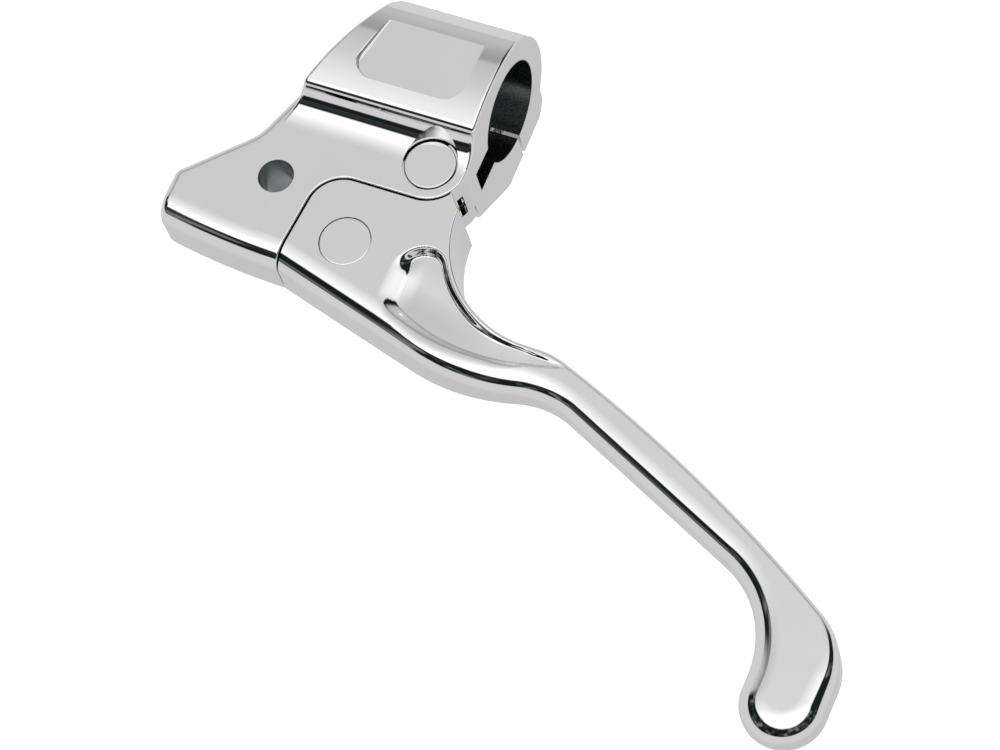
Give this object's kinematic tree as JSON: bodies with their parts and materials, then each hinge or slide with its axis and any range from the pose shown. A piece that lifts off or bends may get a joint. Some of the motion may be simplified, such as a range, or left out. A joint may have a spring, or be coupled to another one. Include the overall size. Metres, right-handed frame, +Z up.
{
  "type": "clutch lever",
  "caption": "Chromed cable clutch lever on a clamp-on perch, with a finger scoop, a round tip and a mirror hole.",
  "frame": {"origin": "on the handlebar's axis, in the middle of the clamp's bore", "axes": "+X outboard along the handlebar, +Y towards the rider, +Z up, parallel to the lever's pivot"},
  "size_m": [0.1957, 0.1493, 0.0397],
  "materials": {
    "chrome": "polished chrome plate on billet aluminium",
    "zinc_steel": "zinc-plated steel",
    "bronze": "machined bronze",
    "spring_steel": "dark spring steel"
  },
  "bodies": {
    "perch": {"perch_body": "chrome", "clamp_cap": "chrome", "clamp_screws": "zinc_steel", "clamp_lock_washers": "zinc_steel", "clamp_thread_inserts": "zinc_steel", "pivot_pin": "chrome", "pivot_clip": "spring_steel"},
    "lever": {"lever": "chrome", "pivot_bush": "bronze", "thrust_washer_upper": "bronze", "thrust_washer_lower": "bronze", "anchor_snap_ring": "spring_steel"},
    "anchor": {"anchor_pin": "chrome"}
  },
  "joints": [
    {"name": "lever_pull", "type": "hinge", "parent": "perch", "child": "lever", "pos_m": [0.011, -0.0235, 0], "axis": [0, 0, 1], "range_deg": [0, 25]},
    {"name": "anchor_swivel", "type": "hinge", "parent": "lever", "child": "anchor", "pos_m": [-0.0004, -0.0486, 0], "axis": [0, 0, 1], "range_deg": [-35, 5]}
  ],
  "couplings": [
    {"joint": "anchor_swivel", "follows": "lever_pull", "ratio": -1.1}
  ]
}
